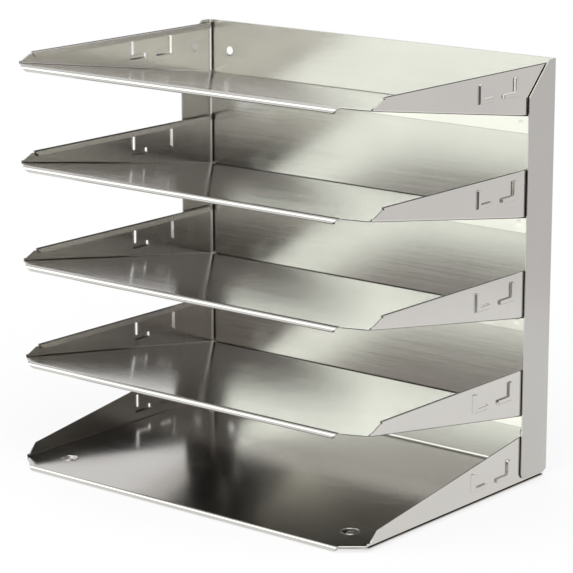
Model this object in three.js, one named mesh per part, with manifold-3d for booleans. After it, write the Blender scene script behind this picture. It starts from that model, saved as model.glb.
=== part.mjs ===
// Five-tier desktop file sorter, folded from sheet steel: an L-shaped back frame, a level base
// tray and four sloped trays, on four riveted rubber feet.
// Millimetres, +Z up, +X to the right, open front towards -Y. The origin is on the desk, under the
// middle of the sorter. Every piece is drawn with y = 0 on the rear face, and the group moves them.
import * as THREE from "three";
import { mergeVertices } from "three/addons/utils/BufferGeometryUtils.js";
import Module from "manifold-3d";

const wasm = await Module();
wasm.setup();

// ---- Driving dimensions ----
const WIDTH = 324; // over the side flanges of the frame
const DEPTH = 229; // rear face to the front of the base lip
const HEIGHT = 310; // desk to the top of the back panel
const SHEET = 1; // steel thickness
const GAP = 0.35; // between faces that touch on the real sorter
const TRAY_COUNT = 4; // sloped trays, counted from the top
const TRAY_PITCH = 73;
const LOWEST_TRAY_Z = 48.5; // rear underside of the lowest sloped tray
const TRAY_SLOPE = 8.64; // degrees, falling to the rear

// Frame
const FLANGE_DEPTH = 34.5;
const FLANGE_GAP = 0.6; // between a side flange and the tray wall inside it
const FLANGE_BEND = 3; // radius at the middle of the sheet
const FLANGE_TOP_FLAT = 10.5; // level stretch at the top, before the diagonal
const FLANGE_TOP_DROP = 24; // height of the diagonal
const FLANGE_BOTTOM_Z = 6.2;
const FLANGE_CORNER_RADIUS = 5.3;
const FLANGE_RELIEF = { y: 5.8, z: 3.4 };
const PLATE_Z = 2.4; // underside of the bottom plate
const PLATE_BEND = 3.5;
const PLATE_FRONT = 226.2;
const SCREW_HOLE = { x: 141.2, low: 29.6, high: 287, radius: 3.2, rim: 4.5, dish: 0.4 };

// Trays
const WALL_X = WIDTH / 2 - SHEET - FLANGE_GAP; // outer face of a tray wall
const WALL_BEND = 1.3;
const WALL_REAR = 4; // rear edge of a wall, forward of the rear face
const SLOPED_WALL = { top: 40.5, frontTop: 203.5, frontBottom: 215.7 };
const BASE_WALL = { rearTop: 39.4, frontTop: 205.6, frontTopZ: 9.9, frontBottom: 214.4 };
const HEM_WIDTH = 5;
const HEM_BEND = 0.65;
const HEM_TURN = 176;
const LIP_HALF = 144.5; // half the length of a front lip, at its top
const ROLL = { start: 228.9, radius: 1.9, turn: 215, taper: 6 };
const BASE_LIP = { start: 227.2, radius: 1.3, drop: 1, foldRadius: 1, fold: 3, taper: 3 };
const LIP_RUN = 20; // stretch of floor that a lip or a rear flange is folded from
const REAR_FLANGE = { half: 157, drop: 14.2, radius: 1.5 };
const RIB = { width: 3.8, height: 14, foot: 17.5, rise: 1.6, slope: 1.4, skin: 0.8, inset: 0.1, slit: 0.3 };
const RIB_FRONT = 95.3; // outer corner of the front rib, forward of the rear face
const RIB_REAR = 47.5;
const SLOPED_RIB_Z = 20.7;
const BASE_RIB_Z = 7.2;
const WELD = { radius: 2.8, floor: 1.6, depth: 0.12 };
const WALL_WELD = { y: 28, z: 21.5 };
const BASE_WALL_WELD_Z = 18;
const FLANGE_WELD = { x: 133.5, z: 7 };

// Feet
const FOOT = { x: 132, front: 198.2, rear: 32, radius: 10, height: 1.7 };
const DISH = { radius: 6.8, floor: 3.6, depth: 1.7, hole: 1.8 };
const PLATE_HOLE = 7.5;
const RIVET = { shank: 1.5, head: 3, dome: 1.1, tail: 3.2, tailZ: 0.25, tailHeight: 0.55 };

const BEND_STEP = 18; // degrees of bend in one facet
const ROUND = 24; // facets round a dish, foot or rivet
const SMALL_ROUND = 12;

// ---- Solids ----
const X = new THREE.Vector3(1, 0, 0);
const Y = new THREE.Vector3(0, 1, 0);
const Z = new THREE.Vector3(0, 0, 1);
const radians = THREE.MathUtils.degToRad;

function solid(geometry) {
  geometry.deleteAttribute("normal");
  geometry.deleteAttribute("uv");
  const merged = mergeVertices(geometry);
  return new wasm.Manifold(
    new wasm.Mesh({
      numProp: 3,
      vertProperties: merged.attributes.position.array,
      triVerts: new Uint32Array(merged.index.array),
    }),
  );
}

function extrude(shape, from, to, basis, tilt = 0) {
  const options = { depth: to - from, bevelEnabled: false, curveSegments: 5 };
  const geometry = new THREE.ExtrudeGeometry(shape, options);
  geometry.translate(0, 0, from);
  geometry.applyMatrix4(new THREE.Matrix4().makeBasis(...basis));
  return solid(geometry.rotateX(tilt));
}

// An outline drawn in (y, z), solid from x = from to x = to, then tilted about the X axis.
function acrossX(shape, from, to, tilt) {
  return extrude(shape, Math.min(from, to), Math.max(from, to), [Y, Z, X], tilt);
}

// An outline drawn in (x, z), solid from y = from to y = to.
const alongY = (shape, from, to, tilt) => extrude(shape, -to, -from, [X, Z, Y.clone().negate()], tilt);

// An outline drawn in (x, y), solid from z = from to z = to.
const alongZ = (shape, from, to, tilt) => extrude(shape, from, to, [X, Y, Z], tilt);

const outline = (points) => new THREE.Shape(points.map(([a, b]) => new THREE.Vector2(a, b)));

// A turned solid about Z from (radius, z) points that close on themselves.
function turned(points, segments = ROUND) {
  const closed = [...points, points[0]].map(([r, z]) => new THREE.Vector2(r, z));
  return solid(new THREE.LatheGeometry(closed, segments).rotateX(Math.PI / 2));
}

// A short cone or cylinder about +Y or +X that cuts a hole or a pressed mark.
function cutter(axis, wide, narrow, length, segments) {
  const geometry = new THREE.CylinderGeometry(wide, narrow, length, segments);
  if (axis === "x") geometry.rotateZ(-Math.PI / 2);
  return geometry;
}

// The outline of a bent sheet seen on edge. The path follows the middle of the sheet, from a start
// point and a heading in degrees: a number is a straight run, [turn, radius] is a bend, left positive.
function bentSheet([startA, startB], heading, steps) {
  const half = SHEET / 2;
  const left = [];
  const right = [];
  let [a, b] = [startA, startB];
  let angle = radians(heading);
  const mark = () => {
    const [acrossA, acrossB] = [-half * Math.sin(angle), half * Math.cos(angle)];
    left.unshift([a + acrossA, b + acrossB]);
    right.push([a - acrossA, b - acrossB]);
  };
  mark();
  for (const step of steps) {
    if (typeof step === "number") {
      a += step * Math.cos(angle);
      b += step * Math.sin(angle);
      mark();
      continue;
    }
    const [turn, radius] = step;
    const arm = Math.sign(turn) * radius;
    const facets = Math.ceil(Math.abs(turn) / BEND_STEP);
    const centre = [a - arm * Math.sin(angle), b + arm * Math.cos(angle)];
    for (let facet = 0; facet < facets; facet++) {
      angle += radians(turn) / facets;
      a = centre[0] + arm * Math.sin(angle);
      b = centre[1] - arm * Math.cos(angle);
      mark();
    }
  }
  return outline([...right, ...left]);
}

const mirrored = (points) => [...points, ...points.map(([a, b]) => [-a, b]).reverse()];

function partMesh(name, body, material) {
  const { vertProperties, triVerts } = body.getMesh();
  const geometry = new THREE.BufferGeometry();
  geometry.setAttribute("position", new THREE.BufferAttribute(vertProperties, 3));
  geometry.setIndex(new THREE.BufferAttribute(triVerts, 1));
  geometry.computeVertexNormals();
  const mesh = new THREE.Mesh(geometry, material);
  mesh.name = name;
  return mesh;
}

// ---- Frame: back panel, side flanges and bottom plate, one folded sheet ----
function backFrame() {
  const flangeX = WIDTH / 2 - SHEET / 2;
  const sideRun = FLANGE_DEPTH - SHEET / 2 - FLANGE_BEND;
  const backRun = 2 * (flangeX - FLANGE_BEND);
  const folds = [sideRun, [-90, FLANGE_BEND], backRun, [-90, FLANGE_BEND], sideRun];
  const channel = alongZ(bentSheet([-flangeX, -FLANGE_DEPTH], 90, folds), FLANGE_BOTTOM_Z, HEIGHT);

  // Side view of a flange: diagonal at the top front, round at the bottom front, relief at the rear.
  const flangeView = new THREE.Shape();
  const cornerY = FLANGE_CORNER_RADIUS - FLANGE_DEPTH;
  const cornerZ = FLANGE_BOTTOM_Z + FLANGE_CORNER_RADIUS;
  flangeView.moveTo(SHEET, HEIGHT + SHEET);
  flangeView.lineTo(-FLANGE_TOP_FLAT, HEIGHT + SHEET);
  flangeView.lineTo(-FLANGE_TOP_FLAT, HEIGHT);
  flangeView.lineTo(-FLANGE_DEPTH, HEIGHT - FLANGE_TOP_DROP);
  flangeView.lineTo(-FLANGE_DEPTH, cornerZ);
  flangeView.absarc(cornerY, cornerZ, FLANGE_CORNER_RADIUS, Math.PI, 1.5 * Math.PI);
  flangeView.lineTo(-FLANGE_RELIEF.y, FLANGE_BOTTOM_Z);
  flangeView.lineTo(SHEET, FLANGE_BOTTOM_Z + FLANGE_RELIEF.z);
  const flanges = channel.intersect(acrossX(flangeView, -WIDTH, WIDTH));

  const plateMiddle = PLATE_Z + SHEET / 2;
  const backDrop = HEIGHT - plateMiddle - PLATE_BEND;
  const fold = acrossX(
    bentSheet([-SHEET / 2, HEIGHT], -90, [backDrop, [-90, PLATE_BEND], LIP_RUN]),
    -(flangeX - FLANGE_BEND),
    flangeX - FLANGE_BEND,
  );
  const plateRear = -SHEET / 2 - PLATE_BEND;
  const plate = alongZ(
    outline(mirrored([[WALL_X, plateRear], [WALL_X, -BASE_WALL.frontBottom], [LIP_HALF, -PLATE_FRONT]])),
    PLATE_Z,
    PLATE_Z + SHEET,
  );

  let frame = flanges.add(fold).add(plate);
  for (const x of [-SCREW_HOLE.x, SCREW_HOLE.x]) {
    for (const z of [SCREW_HOLE.low, SCREW_HOLE.high]) {
      const bore = cutter("y", SCREW_HOLE.radius, SCREW_HOLE.radius, 4 * SHEET, SMALL_ROUND);
      const sink = cutter("y", SCREW_HOLE.radius, SCREW_HOLE.rim, SCREW_HOLE.dish, SMALL_ROUND);
      frame = frame.subtract(solid(bore.translate(x, 0, z)));
      frame = frame.subtract(solid(sink.translate(x, SCREW_HOLE.dish / 2 - SHEET, z)));
    }
    for (const y of [-FOOT.front, -FOOT.rear]) {
      const hole = new THREE.CylinderGeometry(PLATE_HOLE, PLATE_HOLE, 4 * SHEET, ROUND).rotateX(Math.PI / 2);
      frame = frame.subtract(solid(hole.translate(x < 0 ? -FOOT.x : FOOT.x, y, PLATE_Z)));
    }
  }
  return frame;
}

// ---- Trays: a folded floor and two walls, all drawn with the floor from z = 0 to z = SHEET ----

// Floor and walls of full height, trimmed to the side view and to the plan.
function trayShell(sideView, floorFront, wallFront) {
  const wallMiddle = WALL_X - SHEET / 2;
  const wallRun = SLOPED_WALL.top + SHEET;
  const floorRun = 2 * (wallMiddle - WALL_BEND);
  const section = bentSheet([-wallMiddle, SHEET / 2 + WALL_BEND + wallRun], -90, [
    wallRun,
    [90, WALL_BEND],
    floorRun,
    [90, WALL_BEND],
    wallRun,
  ]);
  const plan = outline(mirrored([[WALL_X, 0], [WALL_X, -wallFront], [LIP_HALF, -floorFront]]));
  return alongY(section, -floorFront, 0)
    .intersect(acrossX(outline(sideView), -WIDTH, WIDTH))
    .intersect(alongZ(plan, -2 * SHEET, 2 * wallRun));
}

// A front lip whose ends slant, because the corner cut of the flat sheet runs on round the fold.
function frontLip(floorFront, steps, drop, taper) {
  const section = bentSheet([LIP_RUN - floorFront, SHEET / 2], 180, [LIP_RUN, ...steps]);
  const lip = acrossX(section, -LIP_HALF, LIP_HALF);
  const ends = outline(mirrored([[LIP_HALF, SHEET], [LIP_HALF - taper, -drop]]));
  return lip.intersect(alongY(ends, -2 * floorFront, 0));
}

// A hem folded inwards along the level top edge of a sloped tray's wall.
function hem(side, tilt) {
  const wallMiddle = side * (WALL_X - SHEET / 2);
  const foldZ = SLOPED_WALL.top - SHEET / 2 - HEM_BEND;
  const reach = HEM_WIDTH - SHEET / 2 - HEM_BEND;
  const overlap = HEM_BEND + 0.05;
  const section = bentSheet([wallMiddle, foldZ - overlap], 90, [overlap, [side * HEM_TURN, HEM_BEND], reach]);
  const front = SLOPED_WALL.frontTop;
  const top = SLOPED_WALL.top;
  const view = [
    [-WALL_REAR, top - 2 * HEM_WIDTH],
    [-WALL_REAR, top],
    [2 * SHEET - front, top],
    [2 * SHEET + HEM_WIDTH - front, top - HEM_WIDTH],
    [2 * SHEET + HEM_WIDTH - front, top - 2 * HEM_WIDTH],
  ];
  return alongY(section, -front, -WALL_REAR, tilt).intersect(acrossX(outline(view), -WIDTH, WIDTH, tilt));
}

// The L-shaped outline of a label rib: a bar that stands on the corner, and a foot towards `toward`.
// It can start inside the corner by `inset`, and reach past the inner edges and the ends by `past`.
function ribOutline(cornerY, cornerZ, toward, inset = 0, past = 0) {
  const heelY = cornerY + toward * inset;
  const heelZ = cornerZ + inset;
  const nearY = cornerY + toward * (RIB.width + past);
  const nearZ = cornerZ + RIB.width + past;
  const farY = cornerY + toward * (RIB.foot + past);
  const top = cornerZ + RIB.height + past;
  return outline([[heelY, heelZ], [farY, heelZ], [farY, nearZ], [nearY, nearZ], [nearY, top], [heelY, top]]);
}

// The space behind the two closed flanks of a rib, which lean back and cross its corner at x = base.
function ribFlanks(cornerY, cornerZ, toward, side, base, tilt) {
  const [inside, crest] = [base - side * 2 * RIB.rise, base + side * 2 * RIB.rise];
  const run = 2 * RIB.slope;
  const farY = cornerY + toward * 2 * RIB.foot;
  const farZ = cornerZ + 2 * RIB.foot;
  const [barInside, barCrest] = [cornerY - toward * run, cornerY + toward * run];
  const bar = [[inside, barInside], [crest, barCrest], [crest, farY], [inside, farY]];
  const foot = [[inside, cornerZ - run], [crest, cornerZ + run], [crest, farZ], [inside, farZ]];
  return alongZ(outline(bar), cornerZ - RIB.foot, farZ, tilt).intersect(alongY(outline(foot), -DEPTH, 0, tilt));
}

// Two ribs lanced out of a wall: the cap stands proud and is joined along its outer flanks only, so
// that a card slides in behind it.
function lanceRibs(tray, side, ribZ, tilt) {
  const inside = side * (WALL_X - 2 * SHEET);
  const inner = side * (WALL_X - SHEET);
  const middle = side * (WALL_X - SHEET / 2);
  const face = side * WALL_X;
  const capInner = side * (WALL_X + RIB.rise - RIB.skin);
  const capOuter = side * (WALL_X + RIB.rise);
  let lanced = tray;
  for (const [cornerY, toward] of [[-RIB_FRONT, 1], [-RIB_REAR, -1]]) {
    const cap = acrossX(ribOutline(cornerY, ribZ, toward), middle, capOuter, tilt)
      .intersect(ribFlanks(cornerY, ribZ, toward, side, face, tilt));
    const hollow = acrossX(ribOutline(cornerY, ribZ, toward, RIB.inset, RIB.slit), inside, capInner, tilt)
      .intersect(ribFlanks(cornerY + toward * RIB.inset, ribZ + RIB.inset, toward, side, inner, tilt));
    const slot = acrossX(ribOutline(cornerY, ribZ, toward, RIB.slope, SHEET), face, capInner, tilt);
    lanced = lanced.add(cap).subtract(hollow).subtract(slot);
  }
  return lanced;
}

// A pressed weld mark on the inner face of each wall.
function markWallWelds(tray, markZ, tilt) {
  let marked = tray;
  for (const side of [-1, 1]) {
    const [wide, narrow] = side < 0 ? [WELD.radius, WELD.floor] : [WELD.floor, WELD.radius];
    const mark = cutter("x", wide, narrow, 2 * WELD.depth, SMALL_ROUND);
    mark.translate(side * (WALL_X - SHEET), -WALL_WELD.y, markZ);
    marked = marked.subtract(solid(mark.rotateX(tilt)));
  }
  return marked;
}

// The rear flange of a sloped tray: folded down from the floor, it hangs upright on the back panel.
function rearFlange(tilt) {
  const behind = SHEET + GAP + SHEET / 2 + REAR_FLANGE.radius;
  const centreZ = SHEET / 2 - REAR_FLANGE.radius;
  const centreY = -(behind + centreZ * Math.sin(tilt)) / Math.cos(tilt);
  const hang = REAR_FLANGE.drop - centreY * Math.sin(tilt) + centreZ * Math.cos(tilt);
  const turn = THREE.MathUtils.radToDeg(tilt) - 90;
  const flange = acrossX(
    bentSheet([centreY - LIP_RUN, SHEET / 2], 0, [LIP_RUN, [turn, REAR_FLANGE.radius], hang]),
    -REAR_FLANGE.half,
    REAR_FLANGE.half,
  );
  let marked = flange;
  for (const x of [-FLANGE_WELD.x, FLANGE_WELD.x]) {
    const mark = cutter("y", WELD.floor, WELD.radius, 2 * WELD.depth, SMALL_ROUND);
    mark.translate(x, -(2 * SHEET + GAP), -FLANGE_WELD.z);
    marked = marked.subtract(solid(mark.rotateX(tilt)));
  }
  return marked;
}

function slopedTray() {
  const tilt = radians(TRAY_SLOPE);
  // From a point in the upright frame of the walls to the frame of the sloping floor.
  const upright = (y, z) => [
    y * Math.cos(tilt) - z * Math.sin(tilt),
    y * Math.sin(tilt) + z * Math.cos(tilt),
  ];
  const wallTop = SLOPED_WALL.top - SHEET / 2 - 2 * HEM_BEND;
  const sideView = [
    upright(-WALL_REAR, -WALL_REAR),
    upright(-WALL_REAR, wallTop),
    upright(SHEET - SLOPED_WALL.frontTop, wallTop),
    [2 * SHEET - SLOPED_WALL.frontBottom, 2 * SHEET],
    [-ROLL.start, 2 * SHEET],
    [-ROLL.start, -SHEET],
  ];
  let tray = trayShell(sideView, ROLL.start, SLOPED_WALL.frontBottom)
    .add(frontLip(ROLL.start, [[ROLL.turn, ROLL.radius]], 2 * ROLL.radius, ROLL.taper))
    .add(rearFlange(tilt));
  for (const side of [-1, 1]) {
    tray = lanceRibs(tray.add(hem(side, tilt)), side, SLOPED_RIB_Z, tilt);
  }
  return markWallWelds(tray, WALL_WELD.z, tilt);
}

// A dish pressed into the base floor for a foot rivet.
function dishBody() {
  const rim = DISH.radius + SHEET / 2;
  const bottom = -DISH.depth;
  return turned([
    [DISH.hole, bottom],
    [DISH.floor - SHEET / 2, bottom],
    [DISH.radius - SHEET / 2, 0],
    [rim, 0],
    [rim, SHEET],
    [DISH.radius, 0.85 * SHEET],
    [DISH.floor, bottom + SHEET],
    [DISH.hole, bottom + SHEET],
  ]);
}

function baseTray() {
  const sideView = [
    [-WALL_REAR - GAP, -SHEET],
    [-WALL_REAR - GAP, BASE_WALL.rearTop],
    [-BASE_WALL.frontTop, BASE_WALL.frontTopZ],
    [2 * SHEET - BASE_WALL.frontBottom, 2 * SHEET],
    [-BASE_LIP.start, 2 * SHEET],
    [-BASE_LIP.start, -SHEET],
  ];
  const lipFolds = [[90, BASE_LIP.radius], BASE_LIP.drop, [90, BASE_LIP.foldRadius], BASE_LIP.fold];
  const lipDrop = BASE_LIP.radius + BASE_LIP.drop + BASE_LIP.foldRadius;
  let tray = trayShell(sideView, BASE_LIP.start, BASE_WALL.frontBottom)
    .add(frontLip(BASE_LIP.start, lipFolds, lipDrop, BASE_LIP.taper));
  for (const side of [-1, 1]) {
    tray = lanceRibs(tray, side, BASE_RIB_Z, 0);
    for (const y of [-FOOT.front, -FOOT.rear]) {
      const hole = new THREE.CylinderGeometry(DISH.radius, DISH.radius, 4 * SHEET, ROUND).rotateX(Math.PI / 2);
      const dish = dishBody().translate(side * FOOT.x, y, 0);
      tray = tray.subtract(solid(hole.translate(side * FOOT.x, y, 0))).add(dish);
    }
  }
  return markWallWelds(tray, BASE_WALL_WELD_Z, 0);
}

// ---- Feet ----
const FLOOR_Z = PLATE_Z + SHEET + GAP; // underside of the base tray's floor

function rubberFoot() {
  const pocket = RIVET.tailZ + RIVET.tailHeight + GAP;
  return turned([
    [RIVET.shank + GAP, pocket],
    [RIVET.tail + GAP, pocket],
    [RIVET.tail + GAP, 0],
    [FOOT.radius - 0.6, 0],
    [FOOT.radius, 0.5],
    [FOOT.radius - 0.4, FOOT.height],
    [RIVET.shank + GAP, FOOT.height],
  ]);
}

function footRivet() {
  const headZ = FLOOR_Z - DISH.depth + SHEET + GAP;
  const tailTop = RIVET.tailZ + RIVET.tailHeight;
  const profile = [
    [0, RIVET.tailZ],
    [RIVET.tail, RIVET.tailZ],
    [RIVET.tail, tailTop],
    [RIVET.shank, tailTop],
    [RIVET.shank, headZ],
  ];
  for (const step of [0, 1, 2, 3]) {
    const angle = (step * Math.PI) / 6;
    profile.push([RIVET.head * Math.cos(angle), headZ + RIVET.dome * Math.sin(angle)]);
  }
  return turned(profile, SMALL_ROUND);
}

// ---- Assembly ----
const steel = () => new THREE.MeshStandardMaterial({ color: 0xc9c7c2, roughness: 0.22, metalness: 1 });
const rivetSteel = () => new THREE.MeshStandardMaterial({ color: 0xd8d6d0, roughness: 0.3, metalness: 1 });
const rubber = () => new THREE.MeshStandardMaterial({ color: 0x262626, roughness: 0.85, metalness: 0 });

const sorter = new THREE.Group();
sorter.position.y = DEPTH / 2;
sorter.add(partMesh("back_frame", backFrame(), steel()));

const base = partMesh("base_tray", baseTray(), steel());
base.position.z = FLOOR_Z;
sorter.add(base);

const trayBody = slopedTray();
for (let number = 1; number <= TRAY_COUNT; number++) {
  const tray = partMesh(`tray_${number}`, trayBody, steel());
  tray.rotation.x = -radians(TRAY_SLOPE);
  tray.position.z = LOWEST_TRAY_Z + (TRAY_COUNT - number) * TRAY_PITCH;
  sorter.add(tray);
}

for (const [sideName, side] of [["left", -1], ["right", 1]]) {
  for (const [endName, y] of [["front", -FOOT.front], ["rear", -FOOT.rear]]) {
    const foot = partMesh(`foot_${endName}_${sideName}`, rubberFoot(), rubber());
    const rivet = partMesh(`foot_rivet_${endName}_${sideName}`, footRivet(), rivetSteel());
    for (const piece of [foot, rivet]) {
      piece.position.set(side * FOOT.x, y, 0);
      sorter.add(piece);
    }
  }
}

export default sorter;
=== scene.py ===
import math

import bmesh
import bpy
from mathutils import Matrix, Vector


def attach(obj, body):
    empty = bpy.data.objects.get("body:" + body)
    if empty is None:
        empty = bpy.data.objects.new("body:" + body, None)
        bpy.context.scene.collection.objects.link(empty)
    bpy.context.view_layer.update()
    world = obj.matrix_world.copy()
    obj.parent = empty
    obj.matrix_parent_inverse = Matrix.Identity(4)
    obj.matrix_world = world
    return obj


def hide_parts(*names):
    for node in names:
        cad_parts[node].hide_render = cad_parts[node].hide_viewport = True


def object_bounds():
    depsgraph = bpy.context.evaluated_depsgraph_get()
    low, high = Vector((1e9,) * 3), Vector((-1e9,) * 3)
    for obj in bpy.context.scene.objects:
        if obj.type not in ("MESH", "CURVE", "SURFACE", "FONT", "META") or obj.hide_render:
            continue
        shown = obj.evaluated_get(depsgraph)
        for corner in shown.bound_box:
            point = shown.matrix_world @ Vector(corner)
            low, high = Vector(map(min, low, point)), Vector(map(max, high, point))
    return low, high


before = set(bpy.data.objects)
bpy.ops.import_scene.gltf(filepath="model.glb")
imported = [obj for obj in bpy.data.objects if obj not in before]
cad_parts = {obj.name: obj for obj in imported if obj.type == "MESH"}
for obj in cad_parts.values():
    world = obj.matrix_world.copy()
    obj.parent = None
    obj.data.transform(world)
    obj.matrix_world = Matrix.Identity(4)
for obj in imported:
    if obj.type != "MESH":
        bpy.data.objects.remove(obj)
cad_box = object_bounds()

# ---- Driving dimensions, as in the CAD ----
WIDTH, DEPTH, HEIGHT = [1000 * (high - low) for low, high in zip(*cad_box)]
SHEET = 1.0  # steel thickness
GAP = 0.35  # between faces that touch on the real sorter
TILT = math.radians(8.64)  # slope of the trays, falling to the rear
TRAY_Z = {"tray_1": 267.5, "tray_2": 194.5, "tray_3": 121.5, "tray_4": 48.5}  # rear underside

# Frame. Every bend's radius is at the middle of the sheet.
FLANGE_DEPTH = 34.5
FLANGE_GAP = 0.6  # between a side flange and the tray wall inside it
FLANGE_BEND = 3.0
FLANGE_TOP_FLAT = 10.5  # level stretch at the top, before the diagonal
FLANGE_TOP_DROP = 24  # height of the diagonal
FLANGE_BOTTOM = 6.2
FLANGE_CORNER = 5.3  # radius of the lower front corner
PLATE_Z = 2.4  # underside of the bottom plate
PLATE_BEND = 3.5
PLATE_FRONT = 226.2
SCREW_X, SCREW_LOW, SCREW_HIGH, SCREW_RADIUS = 141.2, 29.6, 287.0, 3.2
SINK_RADIUS, SINK_LENGTH, SINK_PAST = 4.83, 0.5, 0.1  # cone that dishes a hole, from off the sheet

# Trays. Distances to the front are from the rear face.
WALL_X = WIDTH / 2 - SHEET - FLANGE_GAP  # outer face of a tray wall
WALL_REAR = 4.0
WALL_BEND = 1.3
LEDGE = 2.6  # height of the wall where it runs out over the lip
SLOPED_FLOOR, SLOPED_WALL = 228.9, 215.7  # front of the floor, and of the wall's foot
SLOPED_TOP, SLOPED_TOP_FRONT = 40.5, 203.5
BASE_FLOOR, BASE_WALL = 227.2, 214.4
BASE_TOP = 39.4
BASE_TOP_FRONT = (-205.6, 9.9)
HEM_WIDTH, HEM_BEND, HEM_TURN = 5, 0.65, 176
LIP_HALF = 144.5  # half the length of a front lip, at its top
LIP_RUN = 20  # stretch of floor that a lip or a rear flange is folded from
ROLL_TURN, ROLL_RADIUS = 215, 1.9
FLANGE_HALF, FLANGE_DROP, FLANGE_FOLD = 157, 14.2, 1.5  # rear flange of a sloped tray

# Label ribs and weld marks
RIB_WIDTH, RIB_HEIGHT, RIB_FOOT = 3.8, 14.0, 17.5
RIB_RISE, RIB_SLOPE = 1.6, 1.4
RIB_SKIN, RIB_INSET, RIB_SLIT = 0.8, 0.1, 0.5
RIB_FRONT, RIB_REAR = 95.3, 47.5  # outer corners of the two ribs
SLOPED_RIB_Z, BASE_RIB_Z = 20.7, 7.2
WELD_RADIUS, WELD_DEPTH, WELD_RINGS = 2.9, 0.1, 5
WALL_WELD_Y, SLOPED_WELD_Z, BASE_WELD_Z = 28, 21.5, 18
FLANGE_WELD_X, FLANGE_WELD_Z = 133.5, 7

# Feet
FLOOR_Z = PLATE_Z + SHEET + GAP  # underside of the base tray's floor
FOOT_X, FOOT_FRONT, FOOT_REAR, FOOT_HEIGHT = 132.0, 198.2, 32.0, 1.7
PLATE_HOLE, DISH_HOLE = 7.5, 6.8
RIVET_SHANK, RIVET_HEAD, RIVET_DOME = 1.5, 3, 1.1

# Facets and edges
BEND_STEP = 7.5  # degrees of bend in one facet
EDGE_ROUND = 0.2
EDGE_ANGLE = math.radians(40)  # a sharper turn than this is a cut edge
FLAT_ANGLE = math.radians(0.6)
SAME_POINT = 2e-6  # metres


# ---- Solid geometry ----
class Solid:
    """A closed mesh in millimetres. a + b joins, a - b cuts, a & b keeps what they share."""

    def __init__(self, mesh):
        self.mesh = mesh

    def _boolean(self, other, operation):
        made = []
        for solid in (self, other):
            obj = bpy.data.objects.new("solid", solid.mesh)
            bpy.context.scene.collection.objects.link(obj)
            made.append(obj)
        modifier = made[0].modifiers.new("boolean", "BOOLEAN")
        modifier.operation = operation
        modifier.solver = "MANIFOLD"
        modifier.object = made[1]
        graph = bpy.context.evaluated_depsgraph_get()
        mesh = bpy.data.meshes.new_from_object(made[0].evaluated_get(graph))
        for obj in made:
            bpy.data.objects.remove(obj)
        return Solid(mesh)

    def __add__(self, other):
        return self._boolean(other, "UNION")

    def __sub__(self, other):
        return self._boolean(other, "DIFFERENCE")

    def __and__(self, other):
        return self._boolean(other, "INTERSECT")

    def moved(self, matrix):
        mesh = self.mesh.copy()
        mesh.transform(matrix)
        return Solid(mesh)


def closed(vertices, faces):
    bm = bmesh.new()
    made = [bm.verts.new(v) for v in vertices]
    for face in faces:
        bm.faces.new([made[i] for i in face])
    bmesh.ops.recalc_face_normals(bm, faces=bm.faces)
    if bm.calc_volume(signed=True) < 0:
        bmesh.ops.reverse_faces(bm, faces=bm.faces)
    mesh = bpy.data.meshes.new("solid")
    bm.to_mesh(mesh)
    bm.free()
    return Solid(mesh)


def prism(outline, low, high, place):
    count = len(outline)
    vertices = [place(a, b, c) for c in (low, high) for a, b in outline]
    faces = [range(count), range(count, 2 * count)]
    for i in range(count):
        j = (i + 1) % count
        faces.append((i, j, count + j, count + i))
    return closed(vertices, faces)


def leaned(solid, tilt):
    return solid.moved(Matrix.Rotation(tilt, 4, "X")) if tilt else solid


def across_x(outline, low, high, tilt=0.0):
    """An outline in (y, z), solid from x = low to x = high."""
    low, high = sorted((low, high))
    return leaned(prism(outline, low, high, lambda y, z, x: (x, y, z)), tilt)


def along_y(outline, low, high, tilt=0.0):
    """An outline in (x, z), solid from y = low to y = high."""
    return leaned(prism(outline, low, high, lambda x, z, y: (x, y, z)), tilt)


def along_z(outline, low, high):
    """An outline in (x, y), solid from z = low to z = high."""
    return prism(outline, low, high, lambda x, y, z: (x, y, z))


def turned(profile, sides=64):
    """A solid turned about Z from (radius, z) points that close on themselves."""
    vertices, rings = [], []
    for radius, z in profile:
        if radius == 0:
            rings.append([len(vertices)] * sides)
            vertices.append((0, 0, z))
            continue
        rings.append([len(vertices) + i for i in range(sides)])
        for i in range(sides):
            turn = 2 * math.pi * i / sides
            vertices.append((radius * math.cos(turn), radius * math.sin(turn), z))
    faces = []
    for ring, following in zip(rings, rings[1:] + rings[:1]):
        for i in range(sides):
            j = (i + 1) % sides
            corners = list(dict.fromkeys((ring[i], ring[j], following[j], following[i])))
            if len(corners) > 2:
                faces.append(corners)
    return closed(vertices, faces)


def drum(axis, low_radius, high_radius, length, centre, sides=40):
    half = length / 2
    solid = turned([(0, -half), (low_radius, -half), (high_radius, half), (0, half)], sides)
    turn = {"x": Matrix.Rotation(math.pi / 2, 4, "Y"), "y": Matrix.Rotation(-math.pi / 2, 4, "X")}
    return solid.moved(Matrix.Translation(centre) @ turn.get(axis, Matrix.Identity(4)))


def bent_sheet(start, heading, steps):
    """Outline of a bent sheet on edge: a number is a run, (turn, radius) a bend, left positive."""
    a, b = start
    angle = math.radians(heading)
    left, right = [], []

    def mark():
        da, db = -SHEET / 2 * math.sin(angle), SHEET / 2 * math.cos(angle)
        left.insert(0, (a + da, b + db))
        right.append((a - da, b - db))

    mark()
    for step in steps:
        if not isinstance(step, tuple):
            a += step * math.cos(angle)
            b += step * math.sin(angle)
            mark()
            continue
        turn, radius = step
        arm = math.copysign(radius, turn)
        centre = (a - arm * math.sin(angle), b + arm * math.cos(angle))
        facets = math.ceil(abs(turn) / BEND_STEP)
        for _ in range(facets):
            angle += math.radians(turn) / facets
            a = centre[0] + arm * math.sin(angle)
            b = centre[1] - arm * math.cos(angle)
            mark()
    return right + left


def mirrored(points):
    return points + [(-a, b) for a, b in reversed(points)]


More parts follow.
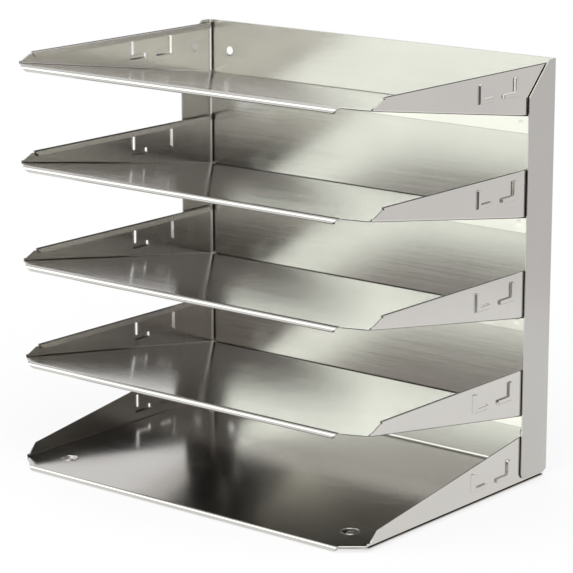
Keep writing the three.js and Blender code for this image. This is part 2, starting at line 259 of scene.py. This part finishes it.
def weld_mark(axis, centre):
    """A lens that leaves a soft round dimple where its middle plane lies on a face."""
    rim = []
    for ring in range(WELD_RINGS):
        rim.append((WELD_RADIUS * ring / WELD_RINGS, WELD_DEPTH * (1 - (ring / WELD_RINGS) ** 2)))
    lens = turned(rim + [(WELD_RADIUS, 0)] + [(r, -z) for r, z in reversed(rim)])
    turn = Matrix.Rotation(math.pi / 2, 4, "Y" if axis == "x" else "X")
    return lens.moved(Matrix.Translation(centre) @ turn)


# ---- Frame ----
def back_frame():
    flange_x = WIDTH / 2 - SHEET / 2
    side_run = FLANGE_DEPTH - SHEET / 2 - FLANGE_BEND
    half = flange_x - FLANGE_BEND
    path = [side_run, (-90, FLANGE_BEND), 2 * half, (-90, FLANGE_BEND), side_run]
    channel = along_z(bent_sheet((-flange_x, -FLANGE_DEPTH), 90, path), FLANGE_BOTTOM, HEIGHT)
    view = [(1, HEIGHT + 1), (-FLANGE_TOP_FLAT, HEIGHT + 1), (-FLANGE_TOP_FLAT, HEIGHT)]
    view.append((-FLANGE_DEPTH, HEIGHT - FLANGE_TOP_DROP))
    for step in range(9):
        turn = math.pi + step * math.pi / 16
        y = FLANGE_CORNER - FLANGE_DEPTH + FLANGE_CORNER * math.cos(turn)
        view.append((y, FLANGE_BOTTOM + FLANGE_CORNER + FLANGE_CORNER * math.sin(turn)))
    view += [(-5.8, FLANGE_BOTTOM), (1, FLANGE_BOTTOM + 3.4)]
    body = channel & across_x(view, -WIDTH, WIDTH)

    drop = HEIGHT - PLATE_Z - SHEET / 2 - PLATE_BEND
    path = [drop, (-90, PLATE_BEND), LIP_RUN]
    body += across_x(bent_sheet((-SHEET / 2, HEIGHT), -90, path), -half, half)
    plate = [(WALL_X, -SHEET / 2 - PLATE_BEND), (WALL_X, -BASE_WALL), (LIP_HALF, -PLATE_FRONT)]
    body += along_z(mirrored(plate), PLATE_Z, PLATE_Z + SHEET)
    for side in (-1, 1):
        x = side * SCREW_X
        for z in (SCREW_LOW, SCREW_HIGH):
            body -= drum("y", SCREW_RADIUS, SCREW_RADIUS, 4, (x, 0, z))
            sink_y = SINK_LENGTH / 2 - SINK_PAST - SHEET
            body -= drum("y", SINK_RADIUS, SCREW_RADIUS, SINK_LENGTH, (x, sink_y, z))
        for y in (-FOOT_FRONT, -FOOT_REAR):
            body -= drum("z", PLATE_HOLE, PLATE_HOLE, 4, (side * FOOT_X, y, PLATE_Z))
    return body


# ---- Trays, drawn with the floor from z = 0 to z = SHEET ----
def tray_shell(side_view, floor_front, wall_front):
    """A floor and its two side walls, bent from one sheet and trimmed to a side view."""
    middle = WALL_X - SHEET / 2
    run = SLOPED_TOP + 1
    path = [run, (90, WALL_BEND), 2 * (middle - WALL_BEND), (90, WALL_BEND), run]
    section = bent_sheet((-middle, SHEET / 2 + WALL_BEND + run), -90, path)
    plan = mirrored([(WALL_X, 0), (WALL_X, -wall_front), (LIP_HALF, -floor_front)])
    shell = along_y(section, -floor_front, 0) & across_x(side_view, -WIDTH, WIDTH)
    return shell & along_z(plan, -2, 90)


def front_lip(floor_front, steps, drop, taper):
    """A lip folded from the front of the floor, with ends that taper in over its drop."""
    outline = bent_sheet((LIP_RUN - floor_front, SHEET / 2), 180, [LIP_RUN, *steps])
    lip = across_x(outline, -LIP_HALF, LIP_HALF)
    ends = mirrored([(LIP_HALF, SHEET), (LIP_HALF - taper, -drop)])
    return lip & along_y(ends, -2 * floor_front, 0)


def rib_outline(corner, low, toward, inset=0.0, past=0.0):
    """The L of a label rib in (y, z): a bar standing on the corner, and a foot towards one side."""
    near = corner + toward * (RIB_WIDTH + past)
    far = corner + toward * (RIB_FOOT + past)
    heel = corner + toward * inset
    bottom = low + inset
    top = low + RIB_HEIGHT + past
    inner = low + RIB_WIDTH + past
    foot = [(heel, bottom), (far, bottom), (far, inner)]
    return foot + [(near, inner), (near, top), (heel, top)]


def rib_flanks(corner, low, toward, side, base, tilt):
    """The space behind a rib's two closed flanks, which lean and cross its corner at x = base."""
    inside, crest = base - side * 2 * RIB_RISE, base + side * 2 * RIB_RISE
    run = 2 * RIB_SLOPE
    far = corner + toward * 2 * RIB_FOOT
    bar = [(inside, corner - toward * run), (crest, corner + toward * run)]
    bar += [(crest, far), (inside, far)]
    foot = [(inside, low - run), (crest, low + run), (crest, 90), (inside, 90)]
    return leaned(along_z(bar, -40, 90), tilt) & leaned(along_y(foot, -200, 20), tilt)


def lance_ribs(tray, side, low, tilt):
    """Two ribs pressed out of a wall, open along their inner flanks so that a card slides in."""
    face = side * WALL_X
    proud = side * (WALL_X + RIB_RISE)
    under = side * (WALL_X + RIB_RISE - RIB_SKIN)
    inside = side * (WALL_X - 2 * SHEET)
    start = side * (WALL_X - SHEET)
    for corner, toward in ((-RIB_FRONT, 1), (-RIB_REAR, -1)):
        cap = across_x(rib_outline(corner, low, toward), side * (WALL_X - SHEET / 2), proud, tilt)
        tray += cap & rib_flanks(corner, low, toward, side, face, tilt)
        hollow = rib_outline(corner, low, toward, RIB_INSET, RIB_SLIT)
        heel, sole = corner + toward * RIB_INSET, low + RIB_INSET
        flanks = rib_flanks(heel, sole, toward, side, start, tilt)
        tray -= across_x(hollow, inside, under, tilt) & flanks
        mouth = rib_outline(corner, low, toward, RIB_SLOPE, 2 * RIB_SLIT)
        tray -= across_x(mouth, face, under, tilt)
    return tray


def wall_welds(tray, height, tilt):
    for side in (-1, 1):
        tray -= leaned(weld_mark("x", (side * (WALL_X - SHEET), -WALL_WELD_Y, height)), tilt)
    return tray


def hem(side, tilt):
    """The top edge of a wall folded over to the inside, with its front corner cut away."""
    middle = side * (WALL_X - SHEET / 2)
    reach = HEM_WIDTH - SHEET / 2 - HEM_BEND
    top, front = SLOPED_TOP, SLOPED_TOP_FRONT
    fold = top - SHEET / 2 - HEM_BEND
    overlap = HEM_BEND + 0.05
    path = [overlap, (side * HEM_TURN, HEM_BEND), reach]
    section = bent_sheet((middle, fold - overlap), 90, path)
    view = [(-WALL_REAR, top - 10), (-WALL_REAR, top), (2 - front, top)]
    view += [(7 - front, top - HEM_WIDTH), (7 - front, top - 10)]
    strip = along_y(section, -front, -WALL_REAR, tilt)
    return strip & across_x(view, -WIDTH, WIDTH, tilt)


def sloped_tray():
    def upright(y, z):
        return (y * math.cos(TILT) - z * math.sin(TILT), y * math.sin(TILT) + z * math.cos(TILT))

    wall_top = SLOPED_TOP - SHEET / 2 - 2 * HEM_BEND
    side_view = [upright(-WALL_REAR, -WALL_REAR), upright(-WALL_REAR, wall_top)]
    side_view += [upright(SHEET - SLOPED_TOP_FRONT, wall_top), (2 - SLOPED_WALL, LEDGE)]
    side_view += [(-SLOPED_FLOOR, LEDGE), (-SLOPED_FLOOR, -1)]
    tray = tray_shell(side_view, SLOPED_FLOOR, SLOPED_WALL)
    tray += front_lip(SLOPED_FLOOR, [(ROLL_TURN, ROLL_RADIUS)], 2 * ROLL_RADIUS, 6)

    behind = SHEET + GAP + SHEET / 2 + FLANGE_FOLD
    centre_z = SHEET / 2 - FLANGE_FOLD
    centre_y = -(behind + centre_z * math.sin(TILT)) / math.cos(TILT)
    hang = FLANGE_DROP - centre_y * math.sin(TILT) + centre_z * math.cos(TILT)
    path = [LIP_RUN, (math.degrees(TILT) - 90, FLANGE_FOLD), hang]
    flange = bent_sheet((centre_y - LIP_RUN, SHEET / 2), 0, path)
    tray += across_x(flange, -FLANGE_HALF, FLANGE_HALF)
    for x in (-FLANGE_WELD_X, FLANGE_WELD_X):
        tray -= leaned(weld_mark("y", (x, -(2 * SHEET + GAP), -FLANGE_WELD_Z)), TILT)
    for side in (-1, 1):
        tray = lance_ribs(tray + hem(side, TILT), side, SLOPED_RIB_Z, TILT)
    return wall_welds(tray, SLOPED_WELD_Z, TILT)


def base_tray():
    rear = -WALL_REAR - GAP
    side_view = [(rear, -1), (rear, BASE_TOP), BASE_TOP_FRONT, (2 - BASE_WALL, LEDGE)]
    side_view += [(-BASE_FLOOR, LEDGE), (-BASE_FLOOR, -1)]
    tray = tray_shell(side_view, BASE_FLOOR, BASE_WALL)
    tray += front_lip(BASE_FLOOR, [(90, 1.3), 1.0, (90, 1.0), 3.0], 3.3, 3)
    dish = [(1.8, -1.7), (3.1, -1.7), (3.3, -1.66), (6.1, -0.05), (6.4, 0), (7.3, 0), (7.3, 1)]
    dish += [(7.1, 1.0), (6.8, 0.93), (6.5, 0.8), (3.6, -0.66), (3.4, -0.7), (1.8, -0.7)]
    for side in (-1, 1):
        tray = lance_ribs(tray, side, BASE_RIB_Z, 0)
        for y in (-FOOT_FRONT, -FOOT_REAR):
            tray -= drum("z", DISH_HOLE, DISH_HOLE, 4, (side * FOOT_X, y, 0))
            tray += turned(dish).moved(Matrix.Translation((side * FOOT_X, y, 0)))
    return wall_welds(tray, BASE_WELD_Z, 0)


# ---- Feet ----
def rubber_foot():
    return turned([
        (1.85, 1.15), (3.55, 1.15), (3.55, 0.15), (3.7, 0), (9.1, 0), (9.5, 0.08), (9.85, 0.3),
        (10, 0.6), (9.9, 1.2), (9.75, 1.55), (9.55, FOOT_HEIGHT), (1.85, FOOT_HEIGHT),
    ])


def foot_rivet():
    head = FLOOR_Z - FOOT_HEIGHT + SHEET + GAP
    profile = [(0, 0.25), (2.9, 0.25), (3.15, 0.35), (3.2, 0.55), (3.1, 0.8)]
    profile += [(RIVET_SHANK, 0.8), (RIVET_SHANK, head)]
    for step in range(9):
        turn = step * math.pi / 16
        radius = round(RIVET_HEAD * math.cos(turn), 9)
        profile.append((radius, head + RIVET_DOME * math.sin(turn)))
    return turned(profile)


# ---- Materials ----
MIX_A, MIX_B, MIX_RESULT = 6, 7, 2  # colour sockets of a Mix node, whose names repeat by data type


def nodes_of(name):
    material = bpy.data.materials.new(name)
    material.use_nodes = True
    tree = material.node_tree
    return material, tree, tree.nodes["Principled BSDF"]


def add(tree, kind, links=(), **values):
    """A new node with its settings, and with (output, input socket) links made to it."""
    node = tree.nodes.new(kind)
    for key, value in values.items():
        setattr(node, key, value)
    for source, socket in links:
        tree.links.new(source, node.inputs[socket])
    return node


def stretched_noise(tree, scale, detail=3.0, roughness=0.55, offset=0.0):
    """Noise in the object's own metres, with its scale set along each axis."""
    place = add(tree, "ShaderNodeTexCoord")
    mapping = add(tree, "ShaderNodeMapping", [(place.outputs["Object"], "Vector")])
    mapping.inputs["Scale"].default_value = scale
    mapping.inputs["Location"].default_value = (offset, offset, offset)
    noise = add(tree, "ShaderNodeTexNoise", [(mapping.outputs["Vector"], "Vector")])
    noise.inputs["Scale"].default_value = 1.0
    noise.inputs["Detail"].default_value = detail
    noise.inputs["Roughness"].default_value = roughness
    return noise.outputs["Fac"]


def span(tree, source, low, high, from_low=0.3, from_high=0.7):
    """The stretch of a noise from from_low to from_high, spread over low to high."""
    node = add(tree, "ShaderNodeMapRange", [(source, "Value")])
    node.inputs["From Min"].default_value = from_low
    node.inputs["From Max"].default_value = from_high
    node.inputs["To Min"].default_value = low
    node.inputs["To Max"].default_value = high
    return node.outputs["Result"]


def blend(tree, factor, first, second):
    """A colour mix. Each of the two is a colour, or an output that carries one."""
    mix = add(tree, "ShaderNodeMix", [(factor, "Factor")], data_type="RGBA")
    for socket, colour in ((MIX_A, first), (MIX_B, second)):
        if isinstance(colour, bpy.types.NodeSocket):
            tree.links.new(colour, mix.inputs[socket])
        else:
            mix.inputs[socket].default_value = (*colour, 1)
    return mix.outputs[MIX_RESULT]


def steel(name, grain, colour, clear, hazy):
    """Polished stainless sheet: rolling grain, smudges, and a very slight ripple in the sheet."""
    material, tree, shader = nodes_of(name)
    shader.inputs["Metallic"].default_value = 1.0
    fine = stretched_noise(tree, grain)
    coarse = stretched_noise(tree, [g * 0.22 for g in grain], 2.0, 0.5, 3.7)
    smudge = stretched_noise(tree, (14, 14, 14), 4.0, 0.6, 9.1)
    ripple = stretched_noise(tree, (9, 9, 9), 1.0, 0.4, 5.3)

    smudged = [c * 0.94 for c in colour]
    streaked = [c * 0.97 for c in colour]
    tint = blend(tree, span(tree, smudge, 0, 1), colour, smudged)
    streak = blend(tree, span(tree, coarse, 0, 1), tint, streaked)
    tree.links.new(streak, shader.inputs["Base Color"])

    haze = span(tree, fine, clear, hazy, 0.44, 0.56)
    rough = add(tree, "ShaderNodeMath", [(span(tree, smudge, -0.015, 0.03), 0), (haze, 1)])
    tree.links.new(rough.outputs[0], shader.inputs["Roughness"])

    wave = add(tree, "ShaderNodeBump", [(ripple, "Height")])
    wave.inputs["Strength"].default_value = 1.0
    wave.inputs["Distance"].default_value = 0.00012
    lines = add(tree, "ShaderNodeBump", [(fine, "Height"), (wave.outputs["Normal"], "Normal")])
    lines.inputs["Strength"].default_value = 1.0
    lines.inputs["Distance"].default_value = 0.000003
    tree.links.new(lines.outputs["Normal"], shader.inputs["Normal"])
    return material


def rubber(name):
    """Near-black rubber, speckled and a little dusty."""
    material, tree, shader = nodes_of(name)
    speckle = stretched_noise(tree, (900, 900, 900), 4.0, 0.6)
    dust = stretched_noise(tree, (120, 120, 120), 3.0, 0.5, 2.2)
    tint = blend(tree, span(tree, dust, 0, 1), (0.018, 0.018, 0.019), (0.042, 0.041, 0.04))
    tree.links.new(tint, shader.inputs["Base Color"])
    tree.links.new(span(tree, dust, 0.62, 0.85), shader.inputs["Roughness"])
    bump = add(tree, "ShaderNodeBump", [(speckle, "Height")])
    bump.inputs["Distance"].default_value = 0.0001
    tree.links.new(bump.outputs["Normal"], shader.inputs["Normal"])
    return material


frame_steel = steel("frame_steel", (12, 20, 2500), (0.53, 0.511, 0.489), 0.17, 0.23)
tray_steel = steel("tray_steel", (12, 2500, 12), (0.635, 0.612, 0.586), 0.13, 0.18)
rivet_steel = steel("rivet_steel", (500, 500, 500), (0.62, 0.6, 0.58), 0.12, 0.3)
foot_rubber = rubber("foot_rubber")


# ---- Pieces ----
def piece(node, solid, place, material, edge):
    """Puts a solid in the frame in metres, rounds its edges, and lets it stand for a CAD node."""
    to_frame = Matrix.Scale(0.001, 4) @ Matrix.Translation((0, DEPTH / 2, 0)) @ place
    mesh = solid.moved(to_frame).mesh
    bm = bmesh.new()
    bm.from_mesh(mesh)
    bmesh.ops.remove_doubles(bm, verts=bm.verts, dist=SAME_POINT)
    bmesh.ops.dissolve_degenerate(bm, edges=bm.edges, dist=SAME_POINT)
    for line in bm.edges:
        line.smooth = line.calc_face_angle(0) < EDGE_ANGLE
    bmesh.ops.dissolve_limit(bm, angle_limit=FLAT_ANGLE, verts=bm.verts, edges=bm.edges)
    # A bevel can fold a large face over itself, so those are split into well-shaped triangles.
    many_sided = [face for face in bm.faces if len(face.verts) > 4]
    bmesh.ops.triangulate(bm, faces=many_sided, quad_method="BEAUTY", ngon_method="BEAUTY")
    bm.to_mesh(mesh)
    bm.free()
    mesh.materials.clear()
    mesh.materials.append(material)
    mesh.polygons.foreach_set("use_smooth", [True] * len(mesh.polygons))
    obj = bpy.data.objects.new(node + "_skin", mesh)
    bpy.context.scene.collection.objects.link(obj)
    if edge:
        rounding = obj.modifiers.new("edges", "BEVEL")
        rounding.width = edge * 0.001
        rounding.segments = 2
        rounding.limit_method = "ANGLE"
        rounding.angle_limit = EDGE_ANGLE
        rounding.use_clamp_overlap = False
        rounding.loop_slide = False
        weld = obj.modifiers.new("weld", "WELD")
        weld.merge_threshold = 1.5 * SAME_POINT
    shading = obj.modifiers.new("normals", "WEIGHTED_NORMAL")
    shading.weight = 100
    shading.keep_sharp = True
    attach(obj, "root")
    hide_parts(node)


level = Matrix.Identity(4)
piece("back_frame", back_frame(), level, frame_steel, EDGE_ROUND)
on_plate = Matrix.Translation((0, 0, FLOOR_Z))
piece("base_tray", base_tray(), on_plate, tray_steel, EDGE_ROUND)
tray_solid = sloped_tray()
for node, z in TRAY_Z.items():
    place = Matrix.Translation((0, 0, z)) @ Matrix.Rotation(-TILT, 4, "X")
    piece(node, tray_solid, place, tray_steel, EDGE_ROUND)
foot_solid, rivet_solid = rubber_foot(), foot_rivet()
for side_name, side in (("left", -1), ("right", 1)):
    for end_name, y in (("front", -FOOT_FRONT), ("rear", -FOOT_REAR)):
        place = Matrix.Translation((side * FOOT_X, y, 0))
        foot_node = "foot_%s_%s" % (end_name, side_name)
        rivet_node = "foot_rivet_%s_%s" % (end_name, side_name)
        piece(foot_node, foot_solid, place, foot_rubber, 0)
        piece(rivet_node, rivet_solid, place, rivet_steel, 0)

# ---- Studio ----
FLOOR_HALF = 0.55  # metres
FLOOR_SHADE, FLOOR_GLOW = 0.2, 0.76
ROOM_LIGHT, DIM_LIGHT = 0.87, 0.05
# Azimuth, elevation, half-angle of full dimming and half-angle where it ends, in degrees
DIM_DIRECTIONS = ((40, -14, 8, 15), (40, -5, 8, 15), (40, 2, 8, 14), (180, 38, 12, 28))
PALE_GREEN = (0.88, 1.0, 0.92)
PALER_GREEN = (0.9, 1.0, 0.93)
LAMP_AIM = Vector((0, 0, 0.15))

scene = bpy.context.scene
scene.view_settings.view_transform = "Standard"


def stage_floor():
    """A matt floor that glows a little, so that it stays pale without washing out the steel."""
    bm = bmesh.new()
    bmesh.ops.create_grid(bm, x_segments=8, y_segments=8, size=FLOOR_HALF)
    mesh = bpy.data.meshes.new("floor")
    bm.to_mesh(mesh)
    bm.free()
    floor = bpy.data.objects.new("studio_floor", mesh)
    scene.collection.objects.link(floor)
    material, _, shader = nodes_of("studio_floor")
    shader.inputs["Base Color"].default_value = (FLOOR_SHADE, FLOOR_SHADE, FLOOR_SHADE, 1)
    shader.inputs["Emission Color"].default_value = (1, 1, 1, 1)
    shader.inputs["Emission Strength"].default_value = FLOOR_GLOW
    shader.inputs["Roughness"].default_value = 0.9
    shader.inputs["Specular IOR Level"].default_value = 0.0
    mesh.materials.append(material)


def toward(azimuth, elevation):
    """The direction seen from the sorter: azimuth 0 is straight in front, positive to the right."""
    a, e = math.radians(azimuth), math.radians(elevation)
    return Vector((math.sin(a) * math.cos(e), -math.cos(a) * math.cos(e), math.sin(e)))


def surroundings():
    """A white room, dim on the camera's side and high at the back, as the sheet reflects it."""
    world = bpy.data.worlds.new("studio")
    scene.world = world
    world.use_nodes = True
    tree = world.node_tree
    background = tree.nodes["Background"]
    output = tree.nodes["World Output"]
    place = add(tree, "ShaderNodeTexCoord")

    def lobe(azimuth, elevation, inner, outer):
        """1 inside a cone about a direction, falling smoothly to 0 outside a wider one."""
        rays = [(place.outputs["Generated"], 0)]
        dot = add(tree, "ShaderNodeVectorMath", rays, operation="DOT_PRODUCT")
        dot.inputs[1].default_value = toward(azimuth, elevation)
        cosine = [(dot.outputs["Value"], "Value")]
        fade = add(tree, "ShaderNodeMapRange", cosine, interpolation_type="SMOOTHSTEP")
        fade.inputs["From Min"].default_value = math.cos(math.radians(outer))
        fade.inputs["From Max"].default_value = math.cos(math.radians(inner))
        return fade.outputs["Result"]

    strength = None
    for azimuth, elevation, inner, outer in DIM_DIRECTIONS:
        dim = add(tree, "ShaderNodeMix", [(lobe(azimuth, elevation, inner, outer), "Factor")])
        dim.inputs[2].default_value = ROOM_LIGHT
        dim.inputs[3].default_value = DIM_LIGHT
        if strength:
            tree.links.new(strength, dim.inputs[2])
        strength = dim.outputs[0]
    tree.links.new(strength, background.inputs["Strength"])
    plain = add(tree, "ShaderNodeBackground")
    plain.inputs["Color"].default_value = (1, 1, 1, 1)
    plain.inputs["Strength"].default_value = 1.0
    background.inputs["Color"].default_value = (1, 1, 1, 1)
    path = add(tree, "ShaderNodeLightPath")
    both = add(tree, "ShaderNodeMixShader", [(path.outputs["Is Camera Ray"], 0)])
    tree.links.new(background.outputs[0], both.inputs[1])
    tree.links.new(plain.outputs[0], both.inputs[2])
    tree.links.new(both.outputs[0], output.inputs["Surface"])


def softbox(name, azimuth, elevation, distance, width, height, radiance, colour=(1, 1, 1)):
    """A rectangular lamp that faces the sorter, equally bright at any size or distance."""
    data = bpy.data.lights.new(name, "AREA")
    data.shape = "RECTANGLE"
    data.size = width
    data.size_y = height
    data.energy = radiance * math.pi * width * height
    data.color = colour
    light = bpy.data.objects.new(name, data)
    scene.collection.objects.link(light)
    away = toward(azimuth, elevation)
    light.location = away * distance + LAMP_AIM
    light.rotation_euler = away.to_track_quat("Z", "Y").to_euler()
    light.visible_camera = False


stage_floor()
surroundings()
softbox("key_softbox", -40, 15, 2.6, 2.4, 1.6, 1.8, PALE_GREEN)
softbox("front_softbox", 44, 41, 2.6, 2.6, 1.9, 1.95, PALER_GREEN)
softbox("top_softbox", 0, 85, 2.4, 3.0, 2.4, 0.8)

# ---- Camera, fitted to the photograph's view ----
CAMERA_PLACE = (1.1579, -1.4174, 0.5866)
CAMERA_PITCH, CAMERA_TURN = 13.686, 39.046  # degrees down from level, and round to the left
camera_data = bpy.data.cameras.new("camera")
camera_data.sensor_width = 36.0
camera_data.lens = 162.999
camera_data.clip_end = 50
camera = bpy.data.objects.new("camera", camera_data)
scene.collection.objects.link(camera)
camera.location = CAMERA_PLACE
camera.rotation_euler = (math.radians(90 - CAMERA_PITCH), 0, math.radians(CAMERA_TURN))
scene.camera = camera
